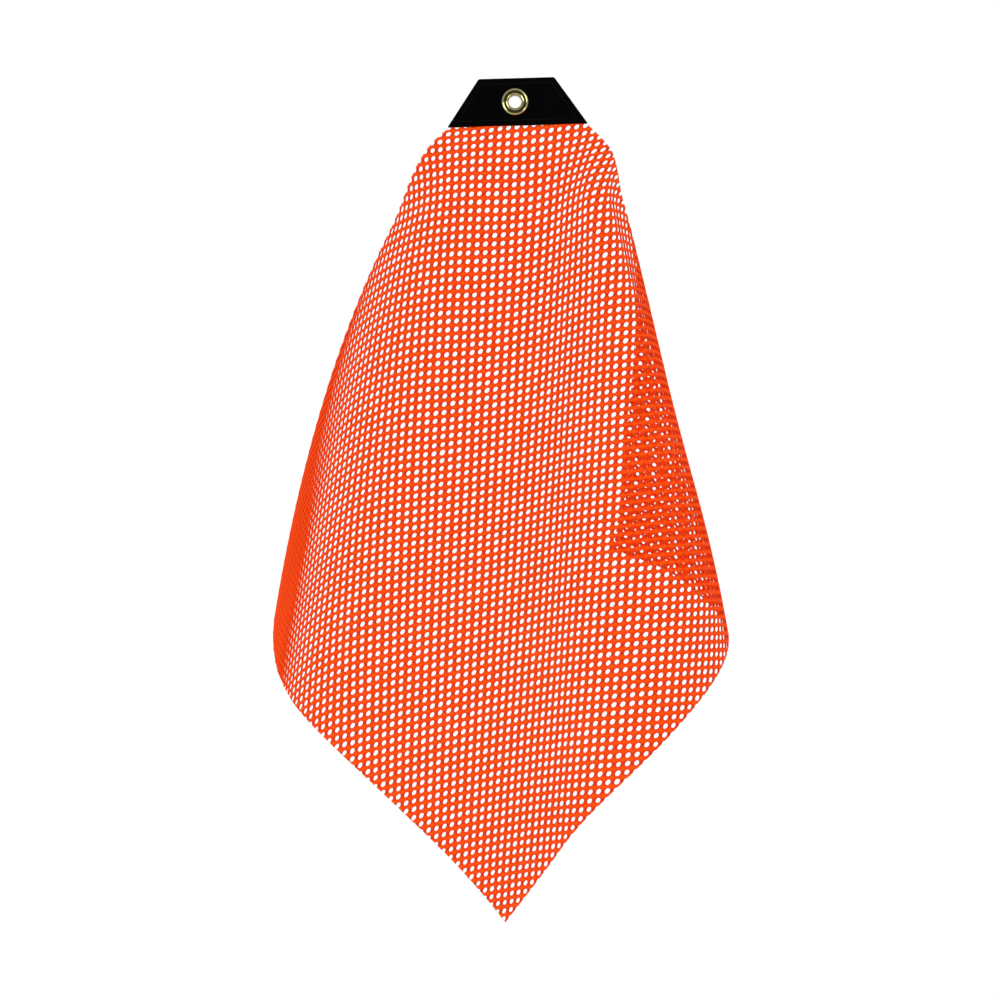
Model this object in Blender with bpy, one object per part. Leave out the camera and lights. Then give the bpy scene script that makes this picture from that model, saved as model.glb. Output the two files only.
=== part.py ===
"""A mesh warning flag: a square of knitted net hung by one corner from a vinyl tab with a grommet.

The origin is the middle of the grommet's hole. +Z is up and the front faces -Y. Metres throughout.
"""

import math

import bmesh
import bpy
import numpy as np
from mathutils import Matrix

# The net, a square sheet that hangs by its top corner
CLOTH_SIDE = 0.4572
CLOTH_THICKNESS = 0.001
CLOTH_DIVISIONS = 30

# The tab: two plies of vinyl, one on each side of the net's top corner
TAB_TOP_WIDTH = 0.056
TAB_FOOT_WIDTH = 0.104
TAB_HEIGHT = 0.035
PLY_THICKNESS = 0.0008
TUCK_HEIGHT = 0.029
TAB_TILT = math.radians(1.6)

# The grommet, placed by its hole
HOLE_RADIUS = 0.00475
HOLE_BELOW_TOP = 0.0175
HOLE_BESIDE_MIDDLE = 0.0015
BRASS_THICKNESS = 0.00045
FLANGE_RADIUS = 0.01015
FLANGE_CROWN = 0.0019
WASHER_CROWN = 0.0013
LIP_RADIUS = 0.0009
TURN_STEPS = 40

# The stitching
THREAD_DIAMETER = 0.0006
STITCH_INSET = 0.004
PANEL_INSET = 0.0052
PANEL_RISE = 0.00012
SEAT_RADIUS = 0.0109
SEAT_SINK = 0.00002

# Clearances
GAP = 0.0003
HINGE_DROP = 0.0009

# How the net hangs. Courses run across it and wales down it, turned a little from its diagonals.
COURSE_RISE = math.radians(5.8)
WALE_LEAN = math.radians(2.6)
SPINE_OFFSET = 0.0853
# The folds open like a fan: places across are shares of its half width, which grows below the tab.
FAN_START = 0.05
FAN_GROWTH = 0.42
RELEASE_DEPTH = 0.07
TAB_LEVEL = 0.07
FOOT_LEVEL = 1.02
# Each row gives a place across the fan, then an angle at the tab and at the foot.
# A heading is the way a course runs seen from above, in degrees: 0 is along +X, and 90 is to the back.
HEADINGS = (
    (-2.10, -68, -88),
    (-1.35, -40, -90),
    (-1.00, -20, -80),
    (-0.60, -4, -24),
    (-0.24, 8, -28),
    (0.20, -52, -50),
    (0.55, -72, 58),
    (0.85, 74, 68),
    (1.10, 44, 154),
    (1.50, 142, 120),
)
# A rise is how steeply a course climbs, in degrees.
RISES = (
    (-1.50, 0, 98),
    (-0.60, -4, 22),
    (0.00, 14, 12),
    (0.70, 12, -4),
    (1.50, -28, -14),
)
# The spine is the wale that the courses start from. It leans sideways, and tips forward and back as it falls.
SPINE_LEAN = math.radians(3.5)
SPINE_TIPS = (-15.5, 23, -9.5)
PATH_STEPS = 64

HALF_DIAGONAL = CLOTH_SIDE / math.sqrt(2)
SEAM_DEPTH = TAB_FOOT_WIDTH / 2
TAB_TOP = HOLE_BELOW_TOP
TAB_FOOT = HOLE_BELOW_TOP - TAB_HEIGHT
PLY_INNER = CLOTH_THICKNESS / 2 + GAP
PLY_OUTER = PLY_INNER + PLY_THICKNESS
BARREL_RADIUS = HOLE_RADIUS + BRASS_THICKNESS
CLOTH_HOLE_RADIUS = BARREL_RADIUS + GAP
HINGE_POINT = (HOLE_BESIDE_MIDDLE, 0.0, TAB_FOOT - HINGE_DROP)


def clear_scene():
    for item in list(bpy.data.objects):
        bpy.data.objects.remove(item, do_unlink=True)


def finish(name, colour, roughness, metallic):
    material = bpy.data.materials.new(name)
    material.use_nodes = True
    shader = material.node_tree.nodes["Principled BSDF"]
    shader.inputs["Base Color"].default_value = (*colour, 1.0)
    shader.inputs["Roughness"].default_value = roughness
    shader.inputs["Metallic"].default_value = metallic
    return material


def add_piece(name, data, material, parent):
    piece = bpy.data.objects.new(name, data)
    data.materials.append(material)
    bpy.context.collection.objects.link(piece)
    piece.parent = parent
    return piece


def add_pivot(name, place, turn):
    pivot = bpy.data.objects.new(name, None)
    pivot.empty_display_size = 0.01
    bpy.context.collection.objects.link(pivot)
    pivot.location = place
    pivot.rotation_euler = (0.0, -turn, 0.0)
    return pivot


def mesh_from(bm, name, smooth_angle=None):
    mesh = bpy.data.meshes.new(name)
    bmesh.ops.recalc_face_normals(bm, faces=bm.faces)
    bm.to_mesh(mesh)
    bm.free()
    if smooth_angle is not None:
        mesh.shade_smooth()
        mesh.set_sharp_from_angle(angle=smooth_angle)
    return mesh


# The drape of the net

def release(share):
    """How far the net has let go of the tab's plane: quickly at first, then gently."""
    return 1.0 - (1.0 - np.clip(share, 0.0, 1.0)) ** 2


def angle_at(rows, across, level):
    places, at_tab, at_foot = np.array(rows, float).T
    high = np.interp(across, places, at_tab)
    low = np.interp(across, places, at_foot)
    return np.radians(high + (low - high) * level)


def course_step(across, down, below_seam):
    """The unit direction of a course at each place on the flat net."""
    level = np.clip((down / (2 * HALF_DIAGONAL) - TAB_LEVEL) / (FOOT_LEVEL - TAB_LEVEL), 0.0, 1.0)
    share = across / (FAN_START + FAN_GROWTH * np.maximum(down - SEAM_DEPTH, 0.0))
    released = release(below_seam / RELEASE_DEPTH)
    heading = angle_at(HEADINGS, share, level) * released
    at_seam = COURSE_RISE + TAB_TILT
    rise = at_seam + (angle_at(RISES, share, level) - at_seam) * released
    flat = np.cos(rise)
    return np.stack([np.cos(heading) * flat, np.sin(heading) * flat, np.sin(rise)], -1)


def wale_step(down):
    """The unit direction of the spine at each depth."""
    depths = np.linspace(TAB_LEVEL, FOOT_LEVEL, len(SPINE_TIPS)) * 2 * HALF_DIAGONAL
    tip = np.radians(np.interp(down, depths, SPINE_TIPS))
    flat = np.cos(tip)
    return np.stack([-math.sin(SPINE_LEAN) * flat, -np.sin(tip), -math.cos(SPINE_LEAN) * flat], -1)


def hung_point(x, depth):
    """Where points of the flat square hang, before the square is moved to its tab."""
    turn = math.cos(COURSE_RISE + WALE_LEAN)
    across = (x * math.cos(WALE_LEAN) + depth * math.sin(WALE_LEAN)) / turn
    across = across - SPINE_OFFSET * HALF_DIAGONAL
    down = (depth * math.cos(COURSE_RISE) + x * math.sin(COURSE_RISE)) / turn
    parts = (np.arange(PATH_STEPS) + 0.5) / PATH_STEPS
    spine = down[:, None] * wale_step(down[:, None] * parts).mean(1)
    below = (depth - SEAM_DEPTH)[:, None]
    course = course_step(across[:, None] * parts, down[:, None], below).mean(1)
    return spine + across[:, None] * course


def drape(x, depth):
    """Points of the hanging net, from the seam's middle, for places on the flat square.

    x is measured from the diagonal and depth from the top corner. Close to the tab the net stays in the
    tab's own plane.
    """
    seam = hung_point(np.array([0.0]), np.array([SEAM_DEPTH]))
    points = hung_point(x, depth) - seam
    points[:, 1] *= release((depth - SEAM_DEPTH) / (RELEASE_DEPTH / 2))
    return points


def net_sheet(pivot, material):
    """The hanging part of the net: the square below its seam, one thin closed solid."""
    bm = bmesh.new()
    bmesh.ops.create_grid(
        bm, x_segments=CLOTH_DIVISIONS, y_segments=CLOTH_DIVISIONS, size=CLOTH_SIDE / 2
    )
    bmesh.ops.rotate(bm, verts=bm.verts, matrix=Matrix.Rotation(math.radians(45), 3, "Z"))
    bmesh.ops.translate(bm, verts=bm.verts, vec=(0.0, -HALF_DIAGONAL, 0.0))
    bmesh.ops.bisect_plane(
        bm,
        geom=bm.verts[:] + bm.edges[:] + bm.faces[:],
        plane_co=(0.0, -SEAM_DEPTH, 0.0),
        plane_no=(0.0, 1.0, 0.0),
        clear_outer=True,
    )
    flat = np.array([vert.co for vert in bm.verts])
    hung = drape(flat[:, 0], -flat[:, 1])
    for vert, place in zip(bm.verts, hung):
        vert.co = turn_back(place)
    mesh = mesh_from(bm, "mesh_flag", math.radians(60))
    sheet = add_piece("mesh_flag", mesh, material, pivot)
    thicken = sheet.modifiers.new("thickness", "SOLIDIFY")
    thicken.thickness = CLOTH_THICKNESS
    thicken.offset = 0.0
    thicken.use_even_offset = True
    return sheet


def turn_back(place):
    """A place in upright axes, written in the tilted axes of the tab."""
    cosine, sine = math.cos(TAB_TILT), math.sin(TAB_TILT)
    x, y, z = place
    return (x * cosine + z * sine, y, z * cosine - x * sine)


# The tab and what it holds

def half_width(height):
    """The tab's half width at a height above its foot."""
    slope = (TAB_FOOT_WIDTH - TAB_TOP_WIDTH) / 2 / TAB_HEIGHT
    return TAB_FOOT_WIDTH / 2 - slope * height


def tab_outline():
    low, high = TAB_FOOT_WIDTH / 2, TAB_TOP_WIDTH / 2
    corners = ((-low, TAB_FOOT), (low, TAB_FOOT), (high, TAB_TOP), (-high, TAB_TOP))
    return [(HOLE_BESIDE_MIDDLE + x, z) for x, z in corners]


def plate(outline, start, thickness):
    """A flat plate in the XZ plane."""
    bm = bmesh.new()
    bm.faces.new([bm.verts.new((x, start, z)) for x, z in outline])
    raised = bmesh.ops.extrude_face_region(bm, geom=bm.faces[:])["geom"]
    points = [item for item in raised if isinstance(item, bmesh.types.BMVert)]
    bmesh.ops.translate(bm, verts=points, vec=(0.0, thickness, 0.0))
    return bm


def round_cutter(name, radius, start, depth, parent):
    """A round bar along Y, from start over a depth, that other pieces are cut with."""
    bm = bmesh.new()
    bmesh.ops.create_cone(
        bm,
        cap_ends=True,
        segments=TURN_STEPS,
        radius1=radius,
        radius2=radius,
        depth=depth,
        matrix=Matrix.Translation((0.0, start + depth / 2, 0.0)) @ Matrix.Rotation(math.radians(90), 4, "X"),
    )
    cutter = bpy.data.objects.new(name, mesh_from(bm, name))
    bpy.context.collection.objects.link(cutter)
    cutter.parent = parent
    cutter.hide_render = True
    cutter.display_type = "WIRE"
    return cutter


def cut_away(piece, cutter):
    cut = piece.modifiers.new(cutter.name, "BOOLEAN")
    cut.operation = "DIFFERENCE"
    cut.object = cutter


def tab_ply(name, facing, parent, material, hole):
    """One ply. Its panel stands a little proud of the sewn border, and the grommet is pressed into it."""
    start = PLY_INNER if facing > 0 else -PLY_OUTER
    bm = plate(tab_outline(), start, PLY_THICKNESS)
    panel = max(bm.faces, key=lambda face: face.calc_center_median().y * facing)
    bmesh.ops.inset_individual(bm, faces=[panel], thickness=PANEL_INSET, use_even_offset=True)
    panel = bmesh.ops.extrude_discrete_faces(bm, faces=[panel])["faces"][0]
    bmesh.ops.translate(bm, verts=panel.verts, vec=(0.0, facing * PANEL_RISE, 0.0))
    ply = add_piece(name, mesh_from(bm, name), material, parent)
    cut_away(ply, hole)
    floor = PLY_OUTER - SEAT_SINK
    seat_start = floor if facing > 0 else -floor - PLY_THICKNESS
    cut_away(ply, round_cutter(name + "_seat", SEAT_RADIUS, seat_start, PLY_THICKNESS, parent))
    return ply


def net_corner(parent, material, cutter):
    """The net's top corner, cut off and tucked between the plies."""
    low = SEAM_DEPTH - GAP
    high = SEAM_DEPTH - TUCK_HEIGHT
    top = TAB_FOOT + TUCK_HEIGHT
    corners = ((-low, TAB_FOOT), (low, TAB_FOOT), (high, top), (-high, top))
    outline = [(HOLE_BESIDE_MIDDLE + x, z) for x, z in corners]
    bm = plate(outline, -CLOTH_THICKNESS / 2, CLOTH_THICKNESS)
    corner = add_piece("mesh_corner", mesh_from(bm, "mesh_corner"), material, parent)
    cut_away(corner, cutter)
    return corner


# The grommet

def arc(centre, radii, start, end, steps):
    """Points (radius, depth) along part of an ellipse, angles in degrees."""
    points = []
    for index in range(steps + 1):
        angle = math.radians(start + (end - start) * index / steps)
        points.append((centre[0] + radii[0] * math.cos(angle), centre[1] + radii[1] * math.sin(angle)))
    return points


def offset_path(path, distance):
    """The path moved sideways by a distance, square to itself at each point."""
    moved = []
    for index, (x, y) in enumerate(path):
        before = path[max(index - 1, 0)]
        after = path[min(index + 1, len(path) - 1)]
        run_x, run_y = after[0] - before[0], after[1] - before[1]
        length = math.hypot(run_x, run_y)
        moved.append((x - run_y / length * distance, y + run_x / length * distance))
    return moved


def turned_sheet(name, path, parent, material):
    """Thin sheet turned about the grommet's axis, from the middle line of its section."""
    half = BRASS_THICKNESS / 2
    section = offset_path(path, half) + offset_path(path, -half)[::-1]
    bm = bmesh.new()
    verts = [bm.verts.new((radius, depth, 0.0)) for radius, depth in section]
    edges = [bm.edges.new((verts[i - 1], verts[i])) for i in range(len(verts))]
    bmesh.ops.spin(
        bm,
        geom=verts + edges,
        cent=(0, 0, 0),
        axis=(0, 1, 0),
        angle=math.tau,
        steps=TURN_STEPS,
        use_merge=True,
    )
    return add_piece(name, mesh_from(bm, name, math.radians(50)), material, parent)


def grommet_eyelet(parent, material):
    """The front half: a crowned flange, the barrel through the tab, and the lip rolled over the washer."""
    half = BRASS_THICKNESS / 2
    face = -(PLY_OUTER + GAP)
    inner = HOLE_RADIUS + half
    middle = (FLANGE_RADIUS - half + inner) / 2
    crown = (middle, face)
    path = arc(crown, (middle - inner, FLANGE_CROWN - half), 0, -180, 16)
    lip_start = PLY_OUTER + GAP + WASHER_CROWN + GAP + half
    path += arc((inner + LIP_RADIUS, lip_start), (LIP_RADIUS, LIP_RADIUS), 180, 60, 8)
    return turned_sheet("grommet_eyelet", path, parent, material)


def grommet_washer(parent, material):
    """The back half: a ring that the eyelet's lip clamps against the tab."""
    half = BRASS_THICKNESS / 2
    inner = BARREL_RADIUS + GAP + half
    outer = FLANGE_RADIUS - half
    middle = (inner + outer) / 2
    crown = (middle, PLY_OUTER + GAP)
    path = arc(crown, (outer - middle, WASHER_CROWN - half), 0, 180, 16)
    return turned_sheet("grommet_washer", path, parent, material)


# The stitching

def stitch_corners():
    """The corners of the stitch line, an even inset from the tab's edges."""
    slope = math.atan2((TAB_FOOT_WIDTH - TAB_TOP_WIDTH) / 2, TAB_HEIGHT)
    side = STITCH_INSET / math.cos(slope)
    low, high = TAB_FOOT + STITCH_INSET, TAB_TOP - STITCH_INSET
    low_half = half_width(STITCH_INSET) - side
    high_half = half_width(TAB_HEIGHT - STITCH_INSET) - side
    corners = ((-low_half, low), (low_half, low), (high_half, high), (-high_half, high))
    return [(HOLE_BESIDE_MIDDLE + x, z) for x, z in corners]


def thread_line(name, depth, parent, material):
    """A line of thread laid round the tab on one face, one closed loop."""
    curve = bpy.data.curves.new(name, "CURVE")
    curve.dimensions = "3D"
    curve.bevel_depth = THREAD_DIAMETER / 2
    curve.bevel_resolution = 1
    corners = stitch_corners()
    spline = curve.splines.new("POLY")
    spline.points.add(len(corners) - 1)
    for point, (x, z) in zip(spline.points, corners):
        point.co = (x, depth, z, 1.0)
    spline.use_cyclic_u = True
    return add_piece(name, curve, material, parent)


def build():
    clear_scene()
    orange = finish("orange net", (0.95, 0.08, 0.005), 0.55, 0.0)
    black = finish("black vinyl", (0.006, 0.006, 0.007), 0.5, 0.0)
    brass = finish("brass", (0.82, 0.72, 0.42), 0.25, 1.0)
    thread = finish("black thread", (0.004, 0.004, 0.004), 0.7, 0.0)

    tab = add_pivot("tab_pivot", (0.0, 0.0, 0.0), TAB_TILT)
    swing = add_pivot("flag_pivot", HINGE_POINT, 0.0)
    swing.parent = tab
    hole = round_cutter("hole_cutter", CLOTH_HOLE_RADIUS, -4 * PLY_OUTER, 8 * PLY_OUTER, tab)

    tab_ply("tab_front", -1, tab, black, hole)
    tab_ply("tab_back", 1, tab, black, hole)
    net_corner(tab, orange, hole)
    net_sheet(swing, orange)
    grommet_eyelet(tab, brass)
    grommet_washer(tab, brass)
    lift = PLY_OUTER + GAP + THREAD_DIAMETER / 2
    thread_line("needle_thread", -lift, tab, thread)
    thread_line("bobbin_thread", lift, tab, thread)


build()
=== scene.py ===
"""A mesh warning flag hanging by one corner from a stitched vinyl tab, on its own against white.

Metres, +Z up, the front faces -Y. The origin is the middle of the grommet's hole.
"""

import math

import bmesh
import bpy
import numpy as np
from mathutils import Matrix, Vector


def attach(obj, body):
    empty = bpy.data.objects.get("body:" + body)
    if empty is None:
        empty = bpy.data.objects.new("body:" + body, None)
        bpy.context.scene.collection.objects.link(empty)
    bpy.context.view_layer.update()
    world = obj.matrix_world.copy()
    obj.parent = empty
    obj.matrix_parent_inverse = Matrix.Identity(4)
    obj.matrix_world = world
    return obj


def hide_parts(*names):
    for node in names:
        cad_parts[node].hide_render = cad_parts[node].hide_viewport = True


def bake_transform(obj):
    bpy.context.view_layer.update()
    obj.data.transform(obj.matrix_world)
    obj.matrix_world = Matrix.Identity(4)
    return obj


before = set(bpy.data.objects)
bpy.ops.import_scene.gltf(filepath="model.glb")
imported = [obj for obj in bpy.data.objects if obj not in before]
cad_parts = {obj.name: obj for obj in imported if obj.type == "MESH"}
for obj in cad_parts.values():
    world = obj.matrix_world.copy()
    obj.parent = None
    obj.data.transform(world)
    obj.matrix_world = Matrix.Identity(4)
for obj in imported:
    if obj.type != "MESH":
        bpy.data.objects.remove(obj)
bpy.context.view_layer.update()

# The square of net and its tab
CLOTH_SIDE = 0.4572
HALF_DIAGONAL = CLOTH_SIDE / math.sqrt(2)
TAB_TOP_WIDTH = 0.056
TAB_FOOT_WIDTH = 0.104
TAB_HEIGHT = 0.035
TAB_TILT = math.radians(1.6)
TAB_TOP = 0.0175
TAB_FOOT = TAB_TOP - TAB_HEIGHT
TAB_MIDDLE = 0.0015
SEAM_DEPTH = TAB_FOOT_WIDTH / 2
TUCK_DEPTH = 0.010

# The vinyl plies, the stitching and the grommet
PLY_INNER = 0.0008
PLY_OUTER = 0.0016
PLY_CORNER = 0.0011
STITCH_INSET = 0.004
STITCH_PITCH = 0.0031
STITCH_LENGTH = 0.0025
THREAD_RADIUS = 0.00032
HOLE_RADIUS = 0.00475
BRASS_THICKNESS = 0.00045
FLANGE_RADIUS = 0.01015
FLANGE_CROWN = 0.0019
WASHER_CROWN = 0.0013
LIP_RADIUS = 0.0009
GAP = 0.0003
PLY_HOLE_RADIUS = HOLE_RADIUS + BRASS_THICKNESS + 2 * GAP
VINYL_GRID = 0.001
STITCH_SINK = 0.00013
STITCH_SINK_WIDTH = 0.0011
EDGE_SINK = 0.00018
VINYL_SWELL = 0.00006
STITCH_BED = 0.0001
STITCH_SLANT = math.radians(3.0)
LIP_WRINKLE = 0.00004
TURN_STEPS = 112

# The knit. Courses run across the net and wales up it, one hole to each crossing of the two.
COURSE = (0.006381, 0.000649)
WALE = (0.000271, 0.006003)
KNIT_START = (-0.2, -0.2)
HOLE_LONG = 0.00224
HOLE_SHORT = 0.00156
HOLE_SLANT = math.radians(47)
STRAND_RISE = 0.00066
KNOT_RISE = 0.00082
HOLES_EACH_WAY = 66
HOLE_INSET = 0.0012
HOLE_DRIFT = 0.00009
HOLE_VARIETY = 0.035
TRIM_SPARE = 0.008

# How the net hangs. Its courses keep to the tab at first, then let go and turn to the headings
# below. Places across are shares of the fan's half width, which grows below the tab.
HINGE_DROP = 0.0009
COURSE_RISE = math.radians(5.8)
WALE_LEAN = math.radians(2.6)
SPINE_OFFSET = 0.0853
FAN_START = 0.05
FAN_GROWTH = 0.42
RELEASE_DEPTH = 0.07
TAB_LEVEL = 0.07
FOOT_LEVEL = 1.02
# Each row: a place across the fan, then an angle in degrees at the tab and at the foot. A heading
# is the way a course runs seen from above, and a rise is how steeply it climbs.
HEADINGS = (
    (-2.10, -68, -88),
    (-1.35, -40, -90),
    (-1.00, -20, -80),
    (-0.60, -4, -24),
    (-0.24, 8, -28),
    (0.20, -52, -50),
    (0.55, -72, 58),
    (0.85, 74, 68),
    (1.10, 44, 154),
    (1.50, 142, 120),
)
RISES = (
    (-1.50, 0, 98),
    (-0.60, -4, 22),
    (0.00, 14, 12),
    (0.70, 12, -4),
    (1.50, -28, -14),
)
# The spine is the wale that the courses start from. It leans sideways, and tips to and fro.
SPINE_LEAN = math.radians(3.5)
SPINE_TIPS = (-15.5, 23, -9.5)
PATH_STEPS = 64
NORMAL_REACH = 0.0008

# Where the viewer stands, how wide the view is there, and the floor
EYE = (-0.0111, -2.4, -0.2945)
VIEW_WIDTH = 0.74
# Where the light from the room starts and stops growing along Y, and how strong it is at each
ROOM_LIGHT = (-0.97, -0.62, 0.05, 0.62)
FLOOR_HEIGHT = -1.02
FLOOR_RADIUS = 1.5


# Materials

class Wire:
    """A shader socket that can be used in sums. Each operator adds the Math node that does it."""

    def __init__(self, board, socket):
        self.board = board
        self.socket = socket

    def other(self, name):
        """Another output of the same node."""
        return Wire(self.board, self.socket.node.outputs[name])

    def math(self, operation, *values):
        return self.board.node("ShaderNodeMath", {"operation": operation}, *values)

    def __add__(self, other):
        return self.math("ADD", self, other)

    def __radd__(self, other):
        return self.math("ADD", other, self)

    def __sub__(self, other):
        return self.math("SUBTRACT", self, other)

    def __rsub__(self, other):
        return self.math("SUBTRACT", other, self)

    def __mul__(self, other):
        return self.math("MULTIPLY", self, other)

    def __rmul__(self, other):
        return self.math("MULTIPLY", other, self)


class Board:
    """A node tree, and the one way that nodes are added to it."""

    def __init__(self, tree):
        self.tree = tree

    def node(self, kind, settings, *values, out=0, **named):
        """Add a node: its settings first, then its sockets' values or wires in order or by name."""
        made = self.tree.nodes.new(kind)
        for setting, value in settings.items():
            if setting == "stops":
                for index, (place, colour) in enumerate(value):
                    ramp = made.color_ramp.elements
                    stop = ramp[index] if index < len(ramp) else ramp.new(place)
                    stop.position = place
                    stop.color = (*colour, 1.0)
            else:
                setattr(made, setting, value)
        sockets = list(zip(made.inputs, values))
        sockets += [(made.inputs[name.replace("_", " ")], value) for name, value in named.items()]
        for socket, value in sockets:
            if isinstance(value, Wire):
                self.tree.links.new(value.socket, socket)
            elif value is not None:
                socket.default_value = value
        return Wire(self, made.outputs[out])


class Paint(Board):
    """One material and the nodes that feed its shader."""

    def __init__(self, name, **constants):
        self.material = bpy.data.materials.new(name)
        self.material.use_nodes = True
        super().__init__(self.material.node_tree)
        self.shader = self.tree.nodes["Principled BSDF"]
        for socket, value in constants.items():
            self.shader.inputs[socket.replace("_", " ")].default_value = value

    def feed(self, name, wire):
        self.tree.links.new(wire.socket, self.shader.inputs[name])

    def place(self):
        return self.node("ShaderNodeTexCoord", {}, out=3)

    def spot(self, place, scale):
        return self.node("ShaderNodeMapping", {}, place, Scale=scale)

    def wave(self, place, scale, distortion, **settings):
        return self.node(
            "ShaderNodeTexWave", settings, Vector=place, Scale=scale, Distortion=distortion
        )

    def noise(self, place, scale, detail=3.0, roughness=0.5):
        return self.node(
            "ShaderNodeTexNoise", {}, Vector=place, Scale=scale, Detail=detail, Roughness=roughness
        )

    def swing(self, turns):
        """A wave from 0 to 1 that is highest at each whole turn."""
        return turns.math("COSINE", turns * math.tau) * 0.5 + 0.5

    def clamp(self, wire, low=0.0, high=1.0):
        return self.node("ShaderNodeClamp", {}, wire, low, high)

    def ramp(self, wire, *stops):
        return self.node("ShaderNodeValToRGB", {"stops": stops}, wire)

    def bump(self, height, distance, strength):
        return self.node("ShaderNodeBump", {}, Height=height, Distance=distance, Strength=strength)

    def mix(self, share, first, second):
        colours = [
            (*colour, 1.0) if isinstance(colour, tuple) else colour for colour in (first, second)
        ]
        unused = [None] * 5
        return self.node("ShaderNodeMix", {"data_type": "RGBA"}, share, *unused, *colours, out=2)


def knitted_net():
    """Fluorescent yarn, with shade painted into its colour and a glow that is partly painted light. The
    pattern is laid along the courses and wales, one unit to each hole.
    """
    # The emission is partly the yarn's fluorescence and partly painted light that lifts its shaded and
    # grazing parts.
    paint = Paint("knitted_net", Specular_IOR_Level=0.08, Emission_Strength=0.31)
    knit = paint.node("ShaderNodeUVMap", {"uv_map": "knit"})
    across = paint.node("ShaderNodeSeparateXYZ", {}, knit)
    up = across.other("Y")
    wales = paint.swing(across)
    courses = paint.swing(up)
    crossing = wales * courses
    strand = wales.math("MAXIMUM", wales, courses)
    yarn = paint.swing(up * 5.0 + across * 3.0 - 0.25)
    ply = paint.swing(across * 6.0 - up * 2.0 - 0.25)
    fibre = paint.noise(paint.spot(knit, (14.0, 3.0, 1.0)), 1.0, 3.0, 0.6)
    patchy = paint.noise(paint.spot(knit, (0.05, 0.05, 1.0)), 1.0, 2.0)
    dyed = paint.noise(paint.spot(knit, (1.0, 1.0, 1.0)), 1.7, 2.0)
    # Painted shade: the courses, crossings and yarn twist make the colour lighter along the strands'
    # middles and crossings, and darker towards the holes and between the yarn's plies. The fibre and
    # dyed noise are the yarn's own uneven tone.
    lit = paint.clamp(courses * 0.34 + crossing * 0.18 + yarn * 0.26 + fibre * 0.28 + dyed * 0.16)
    colour = paint.ramp(
        lit,
        (0.24, (0.34, 0.024, 0.0040)),
        (0.52, (0.78, 0.036, 0.0018)),
        (0.86, (0.97, 0.088, 0.0020)),
    )
    paler = paint.clamp((patchy - 0.52) * 2.2) * 0.3
    paint.feed("Base Color", paint.mix(paler, colour, (1.0, 0.13, 0.020)))
    # Painted light: the glow carries the painted shade of the colour, mixed with an even orange.
    paint.feed("Emission Color", paint.mix(0.45, colour, (0.92, 0.055, 0.002)))
    height = strand * 0.5 + yarn * 0.35 + ply * 0.25 + fibre * 0.4
    paint.feed("Normal", paint.bump(height, 0.00042, 0.8))
    paint.feed("Roughness", paint.clamp(0.72 - yarn * 0.12 + fibre * 0.08))
    return paint.material


def coated_vinyl():
    """Black coated cloth: a fine calendered grain over a woven base that shows faintly through."""
    paint = Paint("coated_vinyl", Specular_IOR_Level=0.03)
    place = paint.place()
    grain = paint.node("ShaderNodeTexVoronoi", {"feature": "DISTANCE_TO_EDGE"}, place, None, 1500.0)
    leather = paint.noise(place, 900.0, 4.0, 0.6)
    warp = paint.wave(place, 260.0, 0.6, bands_direction="X")
    weft = paint.wave(place, 260.0, 0.6, bands_direction="Z")
    handled = paint.noise(place, 60.0, 4.0, 0.6)
    weave = warp * 0.5 + weft * 0.5
    height = paint.clamp(grain * 2.2) * 0.5 + leather * 0.4 + weave * 0.25
    paint.feed("Normal", paint.bump(height, 0.00006, 0.6))
    paint.feed("Roughness", paint.clamp(0.44 + handled * 0.22 - weave * 0.04))
    black = paint.ramp(handled, (0.3, (0.0003, 0.0003, 0.0003)), (0.75, (0.0010, 0.0010, 0.0011)))
    paint.feed("Base Color", black)
    return paint.material


def rolled_brass():
    """Bright stamped brass with faint turning marks, small scratches and a little tarnish."""
    paint = Paint("rolled_brass", Metallic=1.0)
    place = paint.place()
    rings = paint.node(
        "ShaderNodeTexWave",
        {"wave_type": "RINGS", "rings_direction": "Y"},
        Vector=place,
        Scale=900.0,
        Distortion=1.4,
        Detail=2.0,
    )
    scratch = paint.noise(paint.spot(place, (500.0, 500.0, 90.0)), 1.0, 4.0, 0.7)
    tarnish = paint.noise(place, 260.0, 3.0, 0.55)
    stained = paint.clamp((tarnish - 0.5) * 3.0)
    # Painted shade: the brass colour is darker than real brass, so that the white room it mirrors looks
    # dim. The darker stained patches are its tarnish.
    paint.feed("Base Color", paint.mix(stained * 0.6, (0.47, 0.44, 0.19), (0.18, 0.15, 0.05)))
    paint.feed("Roughness", paint.clamp(0.08 + scratch * 0.12 + stained * 0.10))
    paint.feed("Normal", paint.bump(rings * 0.5 + scratch * 0.5, 0.00002, 0.5))
    return paint.material


def sewing_thread():
    """Bonded black thread: two plies twisted together."""
    paint = Paint("sewing_thread", Specular_IOR_Level=0.12)
    place = paint.place()
    twist = paint.wave(place, 1500.0, 0.8, bands_direction="DIAGONAL")
    fuzz = paint.noise(place, 2500.0, 3.0, 0.6)
    paint.feed("Base Color", paint.mix(twist, (0.001, 0.001, 0.001), (0.004, 0.004, 0.004)))
    paint.feed("Roughness", paint.clamp(0.5 + fuzz * 0.2))
    paint.feed("Normal", paint.bump(twist * 0.7 + fuzz * 0.3, 0.00008, 0.8))
    return paint.material


# Making pieces

def piece_from(bm, name, material, smooth_angle=None):
    mesh = bpy.data.meshes.new(name)
    bm.to_mesh(mesh)
    bm.free()
    mesh.shade_smooth()
    if smooth_angle is not None:
        mesh.set_sharp_from_angle(angle=smooth_angle)
    piece = bpy.data.objects.new(name, mesh)
    mesh.materials.append(material)
    bpy.context.collection.objects.link(piece)
    return piece


def tilt_with_tab(bm):
    bmesh.ops.rotate(bm, verts=bm.verts, cent=(0, 0, 0), matrix=Matrix.Rotation(-TAB_TILT, 3, "Y"))


# The hanging net

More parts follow.
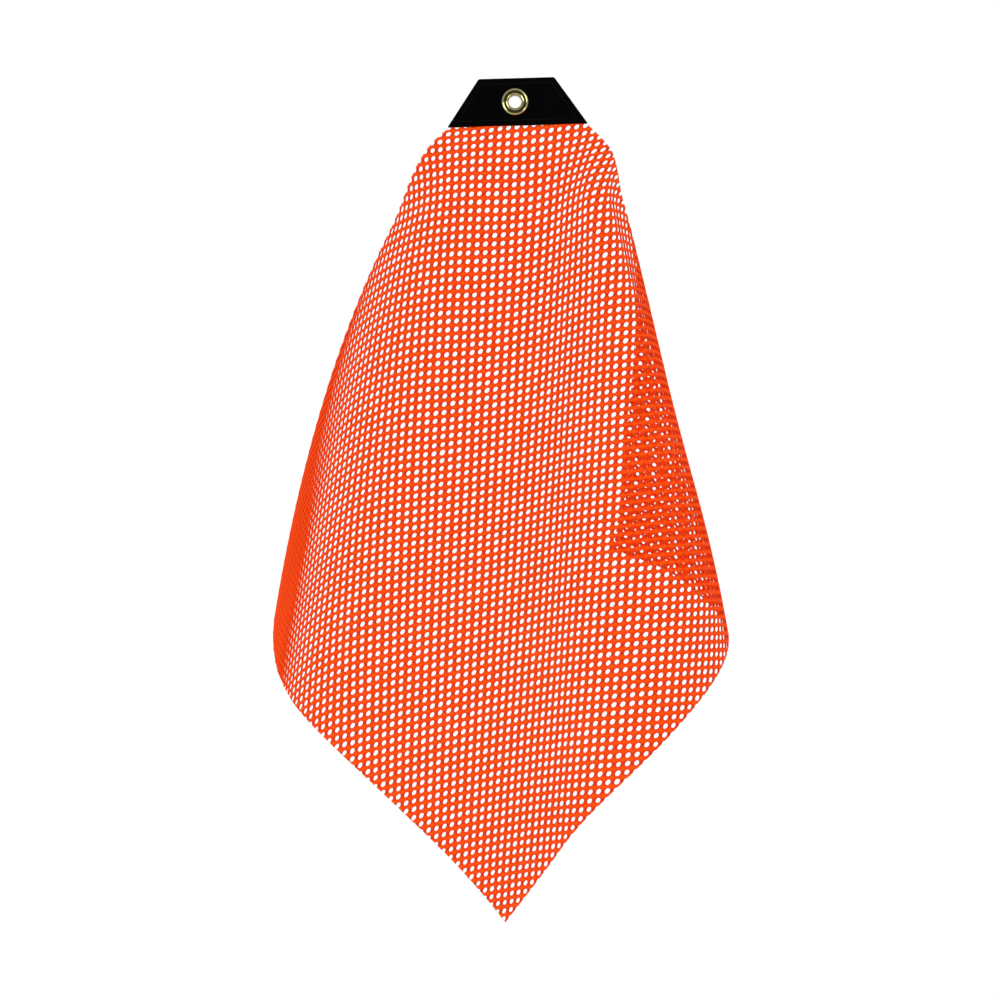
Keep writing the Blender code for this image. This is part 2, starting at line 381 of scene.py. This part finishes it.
def release(share):
    """How far the net has let go of the tab's plane: fast at first, then gently."""
    return 1.0 - (1.0 - np.clip(share, 0.0, 1.0)) ** 2


def angle_at(rows, across, level):
    places, at_tab, at_foot = np.array(rows, float).T
    high = np.interp(across, places, at_tab)
    low = np.interp(across, places, at_foot)
    return np.radians(high + (low - high) * level)


def course_step(across, down, below_seam):
    """The unit direction of a course at each place on the flat net."""
    level = np.clip((down / (2 * HALF_DIAGONAL) - TAB_LEVEL) / (FOOT_LEVEL - TAB_LEVEL), 0.0, 1.0)
    share = across / (FAN_START + FAN_GROWTH * np.maximum(down - SEAM_DEPTH, 0.0))
    released = release(below_seam / RELEASE_DEPTH)
    heading = angle_at(HEADINGS, share, level) * released
    at_seam = COURSE_RISE + TAB_TILT
    rise = at_seam + (angle_at(RISES, share, level) - at_seam) * released
    flat = np.cos(rise)
    return np.stack([np.cos(heading) * flat, np.sin(heading) * flat, np.sin(rise)], -1)


def wale_step(down):
    """The unit direction of the spine at each depth."""
    depths = np.linspace(TAB_LEVEL, FOOT_LEVEL, len(SPINE_TIPS)) * 2 * HALF_DIAGONAL
    tip = np.radians(np.interp(down, depths, SPINE_TIPS))
    flat = np.cos(tip)
    return np.stack([-math.sin(SPINE_LEAN) * flat, -np.sin(tip), -math.cos(SPINE_LEAN) * flat], -1)


def hung_point(x, depth):
    """Where points of the flat square hang, before the square is moved to its tab."""
    turn = math.cos(COURSE_RISE + WALE_LEAN)
    across = (x * math.cos(WALE_LEAN) + depth * math.sin(WALE_LEAN)) / turn
    across = across - SPINE_OFFSET * HALF_DIAGONAL
    down = (depth * math.cos(COURSE_RISE) + x * math.sin(COURSE_RISE)) / turn
    parts = (np.arange(PATH_STEPS) + 0.5) / PATH_STEPS
    spine = down[:, None] * wale_step(down[:, None] * parts).mean(1)
    below = (depth - SEAM_DEPTH)[:, None]
    course = course_step(across[:, None] * parts, down[:, None], below).mean(1)
    return spine + across[:, None] * course


def drape(x, depth):
    """Points of the hanging net, in the object's own place, for places on the flat square."""
    seam = hung_point(np.array([0.0]), np.array([SEAM_DEPTH]))
    points = hung_point(x, depth) - seam
    points[:, 1] *= release((depth - SEAM_DEPTH) / (RELEASE_DEPTH / 2))
    foot = TAB_FOOT - HINGE_DROP
    hinge_x = TAB_MIDDLE * math.cos(TAB_TILT) - foot * math.sin(TAB_TILT)
    hinge_z = foot * math.cos(TAB_TILT) + TAB_MIDDLE * math.sin(TAB_TILT)
    return points + np.array([hinge_x, 0.0, hinge_z])


def hang(bm):
    """Lay a flat net, with x across it, y up it and z through it, on the drape."""
    flat = np.array([vert.co for vert in bm.verts])
    x, depth, through = flat[:, 0], -flat[:, 1], flat[:, 2:]
    right = drape(x + NORMAL_REACH, depth) - drape(x - NORMAL_REACH, depth)
    up = drape(x, depth - NORMAL_REACH) - drape(x, depth + NORMAL_REACH)
    outward = np.cross(right, up)
    outward /= np.linalg.norm(outward, axis=1)[:, None]
    hung = drape(x, depth) + outward * through
    for vert, place in zip(bm.verts, hung):
        vert.co = place


def knit_matrix():
    """From holes counted across and up to places on the flat square. Its top corner is the origin."""
    first = Vector((COURSE[0] * KNIT_START[0] + WALE[0] * KNIT_START[1],
                    COURSE[1] * KNIT_START[0] + WALE[1] * KNIT_START[1]))
    return Matrix((
        (COURSE[0], WALE[0], 0.0, first.x),
        (COURSE[1], WALE[1], 0.0, first.y),
        (0.0, 0.0, 1.0, 0.0),
        (0.0, 0.0, 0.0, 1.0),
    ))


def in_square(place, spare):
    """Whether a place on the flat net is part of the square below the tuck, or near enough to it."""
    beside, below = abs(place.x), -place.y
    return (
        beside - below < spare
        and beside + below - 2 * HALF_DIAGONAL < spare
        and below > SEAM_DEPTH - TUCK_DEPTH - spare
    )


def hole_rim(centre, place, size):
    """The point of a hole's oval rim that lies towards a place."""
    towards = place - centre
    angle = math.atan2(towards.y, towards.x) - HOLE_SLANT
    reach = 1.0 / math.hypot(math.cos(angle) / HOLE_LONG, math.sin(angle) / HOLE_SHORT)
    return centre + towards.normalized() * reach * size


def knit_holes(bm):
    """Divide the sheet into cells, one for each hole, and open an oval in every cell."""
    bmesh.ops.subdivide_edges(bm, edges=bm.edges[:], cuts=1)
    cells = bm.faces[:]
    bmesh.ops.inset_individual(bm, faces=cells, thickness=HOLE_INSET, use_even_offset=True)
    slack = np.random.default_rng(7).normal(0.0, 1.0, (len(cells), 3))
    for cell, (wide, aside, above) in zip(cells, slack):
        middle = cell.calc_center_median() + Vector((aside, above, 0.0)) * HOLE_DRIFT
        for vert in cell.verts:
            vert.co = hole_rim(middle, vert.co, 1.0 + HOLE_VARIETY * wide)
    bmesh.ops.delete(bm, geom=cells, context="FACES_ONLY")


def trim_square(bm):
    """Cut the net along the square's four sides, and off above the tuck inside the tab."""
    far = 2 * HALF_DIAGONAL
    cuts = (
        ((0, 0, 0), (1, 1, 0)),
        ((0, 0, 0), (-1, 1, 0)),
        ((0, -far, 0), (1, -1, 0)),
        ((0, -far, 0), (-1, -1, 0)),
        ((0, -(SEAM_DEPTH - TUCK_DEPTH), 0), (0, 1, 0)),
    )
    for point, away in cuts:
        bmesh.ops.bisect_plane(
            bm,
            geom=bm.verts[:] + bm.edges[:] + bm.faces[:],
            dist=0.00001,
            plane_co=point,
            plane_no=Vector(away).normalized(),
            clear_outer=True,
        )
    loose = [vert for vert in bm.verts if not vert.link_faces]
    bmesh.ops.delete(bm, geom=loose, context="VERTS")


def rim_corners(item):
    """The corners of an edge or a face that lie on the rim of a hole or on the net's cut sides."""
    return [vert for vert in item.verts if vert.is_boundary]


def spans_rims(face):
    """Whether a face could be cut across by a line from rim to rim."""
    corners = len(rim_corners(face))
    joined = any(len(rim_corners(edge)) == 2 for edge in face.edges)
    return len(face.verts) > 3 and (corners > 2 or corners == 2 and not joined)


def round_strands(bm):
    """Raise each strand's middle and close the net's back, so that strands thin out at the holes."""
    pinched = [edge for edge in bm.edges if not edge.is_boundary and len(rim_corners(edge)) == 2]
    added = bmesh.ops.subdivide_edges(bm, edges=pinched, cuts=1, use_single_edge=True)["geom_inner"]
    added += bmesh.ops.poke(bm, faces=[face for face in bm.faces if spans_rims(face)])["verts"]
    for vert in bm.verts:
        if not vert.is_boundary:
            vert.co.z = KNOT_RISE if len(vert.link_edges) > 6 else STRAND_RISE
    for item in added:
        if isinstance(item, bmesh.types.BMVert):
            item.co.z = min(STRAND_RISE, min(edge.calc_length() for edge in item.link_edges) / 2)
    bmesh.ops.mirror(
        bm, geom=bm.verts[:] + bm.edges[:] + bm.faces[:], matrix=Matrix(), merge_dist=0.00001, axis="Z"
    )
    bmesh.ops.recalc_face_normals(bm, faces=bm.faces)


def map_knit(bm):
    """Give the net a map that counts its holes across and up."""
    layer = bm.loops.layers.uv.new("knit")
    count = knit_matrix().inverted()
    for face in bm.faces:
        for loop in face.loops:
            loop[layer].uv = (count @ loop.vert.co).xy


def flag_net(material):
    bm = bmesh.new()
    cells = 2 * HOLES_EACH_WAY
    bmesh.ops.create_grid(bm, x_segments=cells, y_segments=cells, size=HOLES_EACH_WAY)
    bmesh.ops.translate(bm, verts=bm.verts, vec=(0, -round(HALF_DIAGONAL / WALE[1]), 0))
    bmesh.ops.transform(bm, matrix=knit_matrix(), verts=bm.verts)
    outside = [face for face in bm.faces if not in_square(face.calc_center_median(), TRIM_SPARE)]
    bmesh.ops.delete(bm, geom=outside, context="FACES")
    knit_holes(bm)
    trim_square(bm)
    round_strands(bm)
    map_knit(bm)
    hang(bm)
    bmesh.ops.recalc_face_normals(bm, faces=bm.faces)
    return piece_from(bm, "flag_net", material)


# The vinyl tab

def half_width(height):
    slope = (TAB_FOOT_WIDTH - TAB_TOP_WIDTH) / 2 / TAB_HEIGHT
    return TAB_FOOT_WIDTH / 2 - slope * height


def stitch_corners():
    slope = math.atan2((TAB_FOOT_WIDTH - TAB_TOP_WIDTH) / 2, TAB_HEIGHT)
    side = STITCH_INSET / math.cos(slope)
    low_half = half_width(STITCH_INSET) - side
    high_half = half_width(TAB_HEIGHT - STITCH_INSET) - side
    low, high = TAB_FOOT + STITCH_INSET, TAB_TOP - STITCH_INSET
    corners = ((-low_half, low), (low_half, low), (high_half, high), (-high_half, high))
    return [Vector((TAB_MIDDLE + x, 0.0, z)) for x, z in corners]


def distance_to_stitches(place):
    """How far a place on the tab is from its line of stitching."""
    corners = stitch_corners()
    nearest = 1.0
    for start, end in zip(corners, corners[1:] + corners[:1]):
        run = end - start
        share = min(max((place - start).dot(run) / run.length_squared, 0.0), 1.0)
        nearest = min(nearest, (place - start - run * share).length)
    return nearest


def vinyl_ply(name, facing, material):
    """One ply, with rounded corners and soft edges, drawn down along its stitches."""
    bm = bmesh.new()
    low, high = TAB_FOOT_WIDTH / 2, TAB_TOP_WIDTH / 2
    corners = ((-low, TAB_FOOT), (low, TAB_FOOT), (high, TAB_TOP), (-high, TAB_TOP))
    verts = [bm.verts.new((TAB_MIDDLE + x, 0.0, z)) for x, z in corners]
    bm.faces.new(verts)
    bmesh.ops.bevel(
        bm, geom=verts, offset=PLY_CORNER, affect="VERTICES", segments=5, profile=0.5, material=-1
    )
    for height in np.arange(TAB_FOOT + VINYL_GRID, TAB_TOP, VINYL_GRID):
        cut_through(bm, (0, 0, height), (0, 0, 1))
    for across in np.arange(TAB_MIDDLE - low + VINYL_GRID, TAB_MIDDLE + low, VINYL_GRID):
        cut_through(bm, (across, 0, 0), (1, 0, 0))
    middle = [face for face in bm.faces if face.calc_center_median().xz.length < PLY_HOLE_RADIUS]
    bmesh.ops.delete(bm, geom=middle, context="FACES")
    for vert in bm.verts:
        if vert.is_boundary and vert.co.xz.length < FLANGE_RADIUS:
            vert.co.xz = vert.co.xz.normalized() * PLY_HOLE_RADIUS
    raised = bmesh.ops.extrude_face_region(bm, geom=bm.faces[:])["geom"]
    outer = [item for item in raised if isinstance(item, bmesh.types.BMVert)]
    bmesh.ops.translate(bm, verts=outer, vec=(0.0, PLY_OUTER - PLY_INNER, 0.0))
    for vert in outer:
        place = Vector((vert.co.x, 0.0, vert.co.z))
        sunk = math.exp(-((distance_to_stitches(place) / STITCH_SINK_WIDTH) ** 2)) * STITCH_SINK
        swell = VINYL_SWELL * math.sin(place.x * 190 + 1.3) * math.sin(place.z * 240)
        worn = EDGE_SINK if any(rim_edge(edge) for edge in vert.link_edges) else 0.0
        vert.co.y -= sunk + worn - min(swell, 0.0)
    bmesh.ops.translate(bm, verts=bm.verts, vec=(0.0, PLY_INNER, 0.0))
    if facing < 0:
        bmesh.ops.scale(bm, verts=bm.verts, vec=(1, -1, 1))
    bmesh.ops.recalc_face_normals(bm, faces=bm.faces)
    tilt_with_tab(bm)
    return piece_from(bm, name, material, math.radians(50))


def rim_edge(edge):
    """Whether an edge runs between the ply's face and its cut side."""
    if len(edge.link_faces) != 2:
        return True
    return edge.calc_face_angle(0.0) > math.radians(45)


def cut_through(bm, point, way):
    bmesh.ops.bisect_plane(
        bm, geom=bm.verts[:] + bm.edges[:] + bm.faces[:], dist=0.000001, plane_co=point, plane_no=way
    )


# The stitching

def one_stitch(bm):
    """A single stitch along X: a short round thread whose ends dive into the vinyl."""
    bmesh.ops.create_cone(
        bm,
        cap_ends=True,
        segments=8,
        radius1=THREAD_RADIUS,
        radius2=THREAD_RADIUS,
        depth=STITCH_LENGTH,
        matrix=Matrix.Rotation(math.radians(90), 4, "Y"),
    )
    along = [
        edge for edge in bm.edges if abs(edge.verts[0].co.x - edge.verts[1].co.x) > STITCH_LENGTH / 2
    ]
    bmesh.ops.subdivide_edges(bm, edges=along, cuts=5)
    for vert in bm.verts:
        share = abs(vert.co.x) / (STITCH_LENGTH / 2)
        vert.co.z *= 1.0 - 0.25 * share ** 4
        vert.co.y = vert.co.y * (1.0 - 0.45 * share ** 4) + THREAD_RADIUS * 1.5 * share ** 4


def stitch_row(name, facing, material):
    """Lockstitches all round the tab on one face."""
    bm = bmesh.new()
    one_stitch(bm)
    pattern = bm.verts[:] + bm.edges[:] + bm.faces[:]
    corners = stitch_corners()
    for start, end in zip(corners, corners[1:] + corners[:1]):
        run = end - start
        count = round(run.length / STITCH_PITCH)
        turn = Matrix.Rotation(-math.atan2(run.z, run.x), 4, "Y")
        for index in range(count):
            middle = start + run * ((index + 0.5) / count)
            middle.y = -(PLY_OUTER + THREAD_RADIUS * 0.55 - STITCH_BED)
            copy = bmesh.ops.duplicate(bm, geom=pattern)["geom"]
            verts = [item for item in copy if isinstance(item, bmesh.types.BMVert)]
            slant = Matrix.Rotation(STITCH_SLANT, 4, "Y")
            bmesh.ops.transform(bm, matrix=Matrix.Translation(middle) @ turn @ slant, verts=verts)
    spare = [item for item in pattern if isinstance(item, bmesh.types.BMVert)]
    bmesh.ops.delete(bm, geom=spare, context="VERTS")
    if facing > 0:
        bmesh.ops.scale(bm, verts=bm.verts, vec=(1, -1, 1))
    bmesh.ops.recalc_face_normals(bm, faces=bm.faces)
    tilt_with_tab(bm)
    return piece_from(bm, name, material)


# The grommet

def arc(centre, radii, start, end, steps):
    angles = [math.radians(start + (end - start) * index / steps) for index in range(steps + 1)]
    return [(centre[0] + radii[0] * math.cos(a), centre[1] + radii[1] * math.sin(a)) for a in angles]


def offset_path(path, distance):
    moved = []
    for index, (x, y) in enumerate(path):
        before = path[max(index - 1, 0)]
        after = path[min(index + 1, len(path) - 1)]
        run_x, run_y = after[0] - before[0], after[1] - before[1]
        length = math.hypot(run_x, run_y)
        moved.append((x - run_y / length * distance, y + run_x / length * distance))
    return moved


def turned_brass(name, path, material, wrinkles=0.0):
    """Thin sheet turned about the hole. Wrinkles are the small buckles that rolling leaves in a lip."""
    half = BRASS_THICKNESS / 2
    section = offset_path(path, half) + offset_path(path, -half)[::-1]
    bm = bmesh.new()
    verts = [bm.verts.new((radius, depth, 0.0)) for radius, depth in section]
    edges = [bm.edges.new((verts[i - 1], verts[i])) for i in range(len(verts))]
    bmesh.ops.spin(
        bm,
        geom=verts + edges,
        cent=(0, 0, 0),
        axis=(0, 1, 0),
        angle=math.tau,
        steps=TURN_STEPS,
        use_merge=True,
    )
    bmesh.ops.recalc_face_normals(bm, faces=bm.faces)
    for vert in bm.verts:
        if vert.co.y > PLY_OUTER + GAP + WASHER_CROWN:
            around = math.atan2(vert.co.z, vert.co.x)
            vert.co.y += wrinkles * math.sin(around * 14 + 0.6 * math.sin(around * 3))
    return piece_from(bm, name, material, math.radians(40))


def eyelet(material):
    half = BRASS_THICKNESS / 2
    face = -(PLY_OUTER + GAP)
    inner = HOLE_RADIUS + half
    middle = (FLANGE_RADIUS - half + inner) / 2
    path = arc((middle, face), (middle - inner, FLANGE_CROWN - half), 0, -180, 36)
    lip_start = PLY_OUTER + GAP + WASHER_CROWN + GAP + half
    path += arc((inner + LIP_RADIUS, lip_start), (LIP_RADIUS, LIP_RADIUS), 180, 60, 16)
    return turned_brass("brass_eyelet", path, material, LIP_WRINKLE)


def washer(material):
    half = BRASS_THICKNESS / 2
    inner = HOLE_RADIUS + BRASS_THICKNESS + GAP + half
    outer = FLANGE_RADIUS - half
    middle = (inner + outer) / 2
    path = arc((middle, PLY_OUTER + GAP), (outer - middle, WASHER_CROWN - half), 0, 180, 30)
    return turned_brass("brass_washer", path, material)


# Studio

def soft_light(name, place, target, size, power):
    lamp = bpy.data.lights.new(name, "AREA")
    lamp.shape = "SQUARE"
    lamp.size = size
    lamp.energy = power
    light = bpy.data.objects.new(name, lamp)
    light.location = place
    light.rotation_euler = (Vector(target) - Vector(place)).to_track_quat("-Z", "Y").to_euler()
    bpy.context.collection.objects.link(light)


def white_room():
    """White all round to look at. The light it gives is softer, and least from the viewer's side."""
    world = bpy.data.worlds.new("white_room")
    bpy.context.scene.world = world
    world.use_nodes = True
    board = Board(world.node_tree)
    white = (1.0, 1.0, 1.0, 1.0)
    way = board.node("ShaderNodeTexCoord", {})
    backwards = board.node("ShaderNodeSeparateXYZ", {}, way).other("Y")
    softness = board.node(
        "ShaderNodeMapRange", {"interpolation_type": "SMOOTHSTEP"}, backwards, *ROOM_LIGHT
    )
    lit = board.node("ShaderNodeBackground", {}, white, softness)
    seen = board.node("ShaderNodeBackground", {}, white, 1.0)
    looked_at = board.node("ShaderNodeLightPath", {})
    room = board.node("ShaderNodeMixShader", {}, looked_at, lit, seen)
    board.tree.links.new(room.socket, board.tree.nodes["World Output"].inputs["Surface"])


def studio():
    white_room()
    bpy.context.scene.view_settings.view_transform = "Standard"

    bm = bmesh.new()
    bmesh.ops.create_circle(bm, cap_ends=True, segments=96, radius=FLOOR_RADIUS)
    bmesh.ops.translate(bm, verts=bm.verts, vec=(0, 0, FLOOR_HEIGHT))
    pale = Paint("pale_floor", Base_Color=(0.9, 0.9, 0.9, 1.0), Roughness=0.9)
    piece_from(bm, "pale_floor", pale.material)
    soft_light("soft_left", (-1.7, -2.0, -0.45), (0, 0, -0.3), 1.2, 25)
    soft_light("soft_right", (1.5, -1.8, 0.85), (0, 0, -0.3), 1.2, 14)
    soft_light("soft_low", (1.5, -1.7, -0.9), (0, 0, -0.3), 0.7, 5)

    eye = bpy.data.cameras.new("eye")
    eye.lens = eye.sensor_width * -EYE[1] / VIEW_WIDTH
    camera = bpy.data.objects.new("eye", eye)
    camera.location = EYE
    camera.rotation_euler = (math.radians(90), 0.0, 0.0)
    bpy.context.collection.objects.link(camera)
    bpy.context.scene.camera = camera


def build():
    studio()
    net = knitted_net()
    vinyl = coated_vinyl()
    brass = rolled_brass()
    thread = sewing_thread()

    cloth = flag_net(net)
    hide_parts("mesh_flag", "mesh_corner")
    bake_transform(cloth)

    for name, node, facing in (("vinyl_front", "tab_front", -1), ("vinyl_back", "tab_back", 1)):
        ply = vinyl_ply(name, facing, vinyl)
        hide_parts(node)
        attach(ply, "hanger")
    seams = (("stitches_front", "needle_thread", -1), ("stitches_back", "bobbin_thread", 1))
    for name, node, facing in seams:
        row = stitch_row(name, facing, thread)
        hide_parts(node)
        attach(row, "hanger")
    for piece, node in ((eyelet(brass), "grommet_eyelet"), (washer(brass), "grommet_washer")):
        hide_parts(node)
        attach(piece, "hanger")


build()
